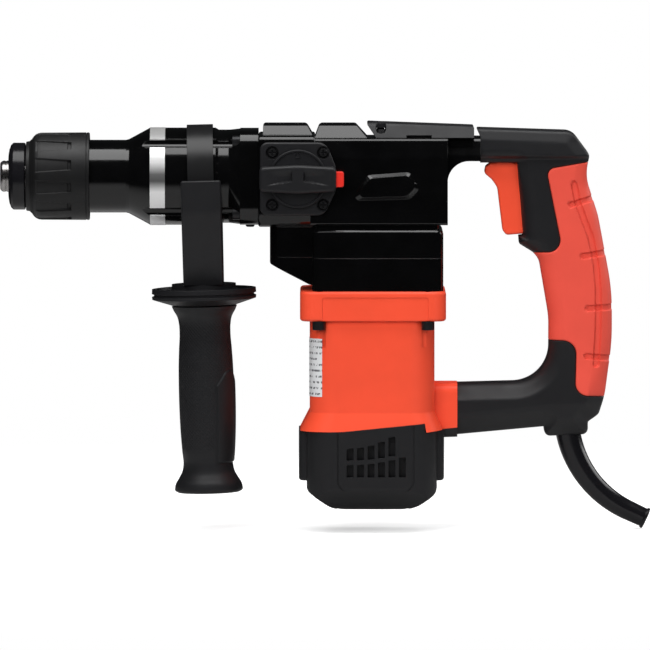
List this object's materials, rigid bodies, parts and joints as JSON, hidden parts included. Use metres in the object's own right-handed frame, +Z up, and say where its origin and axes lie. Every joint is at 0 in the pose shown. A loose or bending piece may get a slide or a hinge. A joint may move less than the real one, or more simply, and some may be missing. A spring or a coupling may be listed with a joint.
{
  "type": "rotary hammer",
  "caption": "Rotary hammer with a sliding chuck sleeve, a clamp-on side handle, a mode knob, an upright motor under a cast gear housing and a closed rear handle with a trigger.",
  "frame": {"origin": "centre of the tool bore at its mouth", "axes": "+X runs back along the tool axis towards the rear handle, +Z is up with the motor hanging below, -Y is the side with the mode knob"},
  "size_m": [0.4259, 0.0972, 0.2666],
  "materials": {
    "polished_steel": "turned and polished",
    "hard_steel": "ground",
    "cap_rubber": "smooth, slightly shiny",
    "sleeve_plastic": "matt, moulded",
    "black_casting": "gloss black paint over cast aluminium",
    "dark_plastic": "fine matt texture",
    "orange_plastic": "satin",
    "orange_soft": "soft-touch",
    "button_plastic": "satin",
    "black_screw": "black oxide",
    "strap_steel": "black coated",
    "iron_pack": "laminated",
    "copper": "lacquered wire",
    "carbon": "pressed carbon",
    "fan_plastic": "moulded",
    "label_film": "printed film",
    "seal_rubber": "oiled"
  },
  "bodies": {
    "hammer_body": {"barrel_housing": "black_casting", "barrel_screws": "black_screw", "front_seal": "seal_rubber", "spindle_bearings": "hard_steel", "gear_housing": "black_casting", "gearbox_base": "black_casting", "grease_plug": "black_screw", "gearbox_bearings": "hard_steel", "mode_plate": "dark_plastic", "cover_screws": "black_screw", "top_cover": "dark_plastic", "motor_housing": "orange_plastic", "motor_housing_screws": "black_screw", "stator": "iron_pack", "stator_coils": "copper", "armature_bearings": "hard_steel", "brush_plate": "fan_plastic", "carbon_brushes": "carbon", "motor_cap": "dark_plastic", "rating_label": "label_film", "handle_shell_near": "dark_plastic", "handle_shell_far": "dark_plastic", "grip_cover_near": "orange_soft", "grip_cover_far": "orange_soft", "handle_screws": "black_screw", "trigger_pin": "hard_steel", "switch_body": "dark_plastic", "cord_guard": "cap_rubber"},
    "spindle": {"spindle_tube": "polished_steel", "bevel_ring_gear": "hard_steel", "dust_cap": "cap_rubber", "locking_balls": "hard_steel", "sleeve_spring": "hard_steel"},
    "lock_sleeve": {"locking_sleeve": "sleeve_plastic", "lock_ring": "hard_steel"},
    "impact_bolt": {"impact_bolt": "hard_steel"},
    "striker": {"striker": "hard_steel", "striker_o_ring": "seal_rubber"},
    "piston": {"piston": "fan_plastic", "piston_o_ring": "seal_rubber", "wrist_pin": "hard_steel"},
    "con_rod": {"con_rod": "hard_steel"},
    "crankshaft": {"crankshaft": "hard_steel"},
    "drive_gear": {"drive_gear": "hard_steel"},
    "bevel_shaft": {"bevel_shaft": "hard_steel"},
    "armature": {"armature_shaft": "hard_steel", "armature_core": "iron_pack", "commutator": "copper", "cooling_fan": "fan_plastic"},
    "mode_knob": {"mode_knob": "dark_plastic"},
    "lock_button": {"lock_button": "button_plastic"},
    "trigger": {"trigger": "orange_plastic"},
    "switch_plunger": {"switch_plunger": "dark_plastic"},
    "side_bracket": {"clamp_strap": "strap_steel", "saddle": "dark_plastic", "handle_flange": "dark_plastic", "clamp_bolt": "hard_steel"},
    "thrust_washer": {"thrust_washer": "hard_steel"},
    "side_grip": {"side_grip": "dark_plastic", "grip_nut": "hard_steel"}
  },
  "joints": [
    {"name": "armature_spin", "type": "hinge", "parent": "hammer_body", "child": "armature", "pos_m": [0.244, 0, -0.12], "axis": [0, 0, 1], "continuous": true},
    {"name": "drive_gear_spin", "type": "hinge", "parent": "hammer_body", "child": "drive_gear", "pos_m": [0.215, 0, -0.052], "axis": [0, 0, 1], "continuous": true},
    {"name": "bevel_shaft_spin", "type": "hinge", "parent": "hammer_body", "child": "bevel_shaft", "pos_m": [0.195, 0, -0.04], "axis": [0, 0, 1], "continuous": true},
    {"name": "spindle_spin", "type": "hinge", "parent": "hammer_body", "child": "spindle", "pos_m": [0.1, 0, 0], "axis": [1, 0, 0], "continuous": true},
    {"name": "sleeve_slide", "type": "slide", "parent": "spindle", "child": "lock_sleeve", "axis": [1, 0, 0], "range_m": [0, 0.006], "stiffness_N_per_m": 1200, "springref_m": -0.004, "deforming": ["sleeve_spring"]},
    {"name": "impact_bolt_slide", "type": "slide", "parent": "spindle", "child": "impact_bolt", "axis": [1, 0, 0], "range_m": [-0.006, 0.004]},
    {"name": "striker_slide", "type": "slide", "parent": "spindle", "child": "striker", "axis": [1, 0, 0], "range_m": [-0.006, 0.006]},
    {"name": "crank_swing", "type": "hinge", "parent": "hammer_body", "child": "crankshaft", "pos_m": [0.215, 0, 0], "axis": [0, 0, 1], "range_deg": [-15, 15]},
    {"name": "con_rod_hinge", "type": "hinge", "parent": "crankshaft", "child": "con_rod", "pos_m": [0.215, -0.009, 0], "axis": [0, 0, 1], "range_deg": [-15, 15]},
    {"name": "piston_slide", "type": "slide", "parent": "hammer_body", "child": "piston", "axis": [1, 0, 0], "range_m": [-0.003, 0.003]},
    {"name": "knob_turn", "type": "hinge", "parent": "hammer_body", "child": "mode_knob", "pos_m": [0.1948, -0.04, 0], "axis": [0, -1, 0], "range_deg": [-90, 90]},
    {"name": "lock_button_slide", "type": "slide", "parent": "mode_knob", "child": "lock_button", "axis": [-1, 0, 0], "range_m": [0, 0.003], "stiffness_N_per_m": 800, "springref_m": -0.0015},
    {"name": "trigger_pull", "type": "hinge", "parent": "hammer_body", "child": "trigger", "pos_m": [0.328, 0, 0.0124], "axis": [0, -1, 0], "range_deg": [0, 5], "stiffness_Nm_per_rad": 2, "springref_deg": -8.59},
    {"name": "plunger_press", "type": "slide", "parent": "hammer_body", "child": "switch_plunger", "axis": [1, 0, 0], "range_m": [0, 0.0025]},
    {"name": "side_swing", "type": "hinge", "parent": "hammer_body", "child": "side_bracket", "pos_m": [0.1314, 0, 0], "axis": [1, 0, 0], "continuous": true},
    {"name": "washer_drop", "type": "slide", "parent": "side_bracket", "child": "thrust_washer", "axis": [0.0244, 0, -0.9997], "range_m": [0, 0.0025]},
    {"name": "grip_unscrew", "type": "hinge", "parent": "thrust_washer", "child": "side_grip", "pos_m": [0.1314, 0, 0], "axis": [0.0244, 0, -0.9997], "range_deg": [0, 723]}
  ],
  "couplings": [
    {"joint": "drive_gear_spin", "follows": "armature_spin", "ratio": -0.18367},
    {"joint": "bevel_shaft_spin", "follows": "armature_spin", "ratio": 0.098901},
    {"joint": "spindle_spin", "follows": "armature_spin", "ratio": -0.041209},
    {"joint": "con_rod_hinge", "follows": "crank_swing", "ratio": -1},
    {"joint": "piston_slide", "follows": "crank_swing", "m_per_rad": 0.009},
    {"joint": "plunger_press", "follows": "trigger_pull", "m_per_rad": 0.0244},
    {"joint": "grip_unscrew", "follows": "washer_drop", "rad_per_m": 5026.5}
  ]
}
